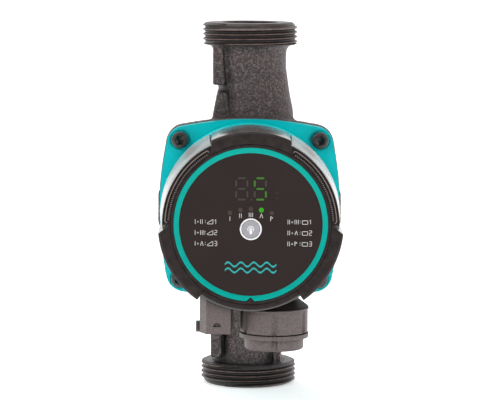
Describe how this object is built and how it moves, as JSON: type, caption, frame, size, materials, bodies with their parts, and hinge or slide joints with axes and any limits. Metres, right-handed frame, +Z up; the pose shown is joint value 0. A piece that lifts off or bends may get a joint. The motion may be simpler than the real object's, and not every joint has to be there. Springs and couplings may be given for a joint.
{
  "type": "circulator pump",
  "caption": "Inline wet-rotor circulator pump: cast housing with two threaded ports, square flange, round stator housing and a round control box with display and button.",
  "frame": {"origin": "centre of the lower (inlet) port's sealing face, on the pipe axis", "axes": "+Z up the pipe from inlet to outlet; -Y forward, along the motor axis to the control panel; +X right seen from the front"},
  "size_m": [0.0898, 0.121, 0.18],
  "materials": {
    "cast_iron": "dark coated cast iron, grainy",
    "teal_paint": "satin teal enamel on die-cast aluminium",
    "teal_plastic": "teal moulded ring",
    "black_plastic": "fine-textured black moulding",
    "panel": "dark glossy film",
    "steel": "stainless steel",
    "black_steel": "blackened steel",
    "rubber": "moulded rubber",
    "ceramic": "ground ceramic",
    "carbon": "carbon bush",
    "magnet": "ferrite",
    "impeller_plastic": "glass-filled composite",
    "laminations": "stacked steel laminations",
    "insulator": "moulded insulator",
    "copper": "enamelled copper wire",
    "board": "circuit board laminate",
    "parts_black": "electronic part",
    "terminal_green": "terminal block",
    "gold": "plated contact",
    "lamp": "diffusing lamp body",
    "white_plastic": "white moulded ring",
    "button_grey": "soft grey button"
  },
  "bodies": {
    "pump_body": {"pump_housing": "cast_iron", "neck_ring": "steel", "housing_gasket": "rubber", "bearing_plate": "steel", "rear_bearing": "carbon", "thrust_bearing": "ceramic", "rotor_can": "steel", "bearing_seat": "steel", "front_bearing": "carbon", "stator_housing": "teal_paint", "flange_screws": "black_steel", "stator_core": "laminations", "slot_insulators": "insulator", "stator_windings": "copper", "base_seal": "rubber", "control_base": "black_plastic", "board_screws": "steel", "main_board": "board", "capacitors": "parts_black", "mains_choke": "copper", "power_module": "parts_black", "terminal_block": "terminal_green", "display_board": "board", "digit_display": "parts_black", "mode_lamps": "lamp", "button_switch": "parts_black", "clamp_ring": "black_plastic", "fascia_frame": "black_plastic", "trim_ring": "teal_plastic", "fascia_panel": "panel", "button_bezel": "white_plastic", "signal_socket": "black_plastic", "signal_pins": "gold", "gland_stub": "black_plastic", "gland_seal": "rubber", "gland_body": "black_plastic"},
    "rotor": {"shaft": "ceramic", "rotor_magnet": "magnet", "rotor_cladding": "steel", "impeller": "impeller_plastic", "impeller_shroud": "impeller_plastic"},
    "push_button": {"button": "button_grey"},
    "socket_cap": {"signal_cover": "black_plastic"},
    "gland_collar": {"gland_ring": "black_plastic"}
  },
  "joints": [
    {"name": "rotor_spin", "type": "hinge", "parent": "pump_body", "child": "rotor", "pos_m": [0, 0, 0.09], "axis": [0, -1, 0], "continuous": true},
    {"name": "button_press", "type": "slide", "parent": "pump_body", "child": "push_button", "axis": [0, 1, 0], "range_m": [0, 0.0006], "stiffness_N_per_m": 2500},
    {"name": "cover_pull", "type": "slide", "parent": "pump_body", "child": "socket_cap", "axis": [0, 0, -1], "range_m": [0, 0.014]},
    {"name": "gland_turn", "type": "hinge", "parent": "pump_body", "child": "gland_collar", "pos_m": [0.0115, -0.074, 0.036], "axis": [0, 0, 1], "range_deg": [0, 60]}
  ]
}
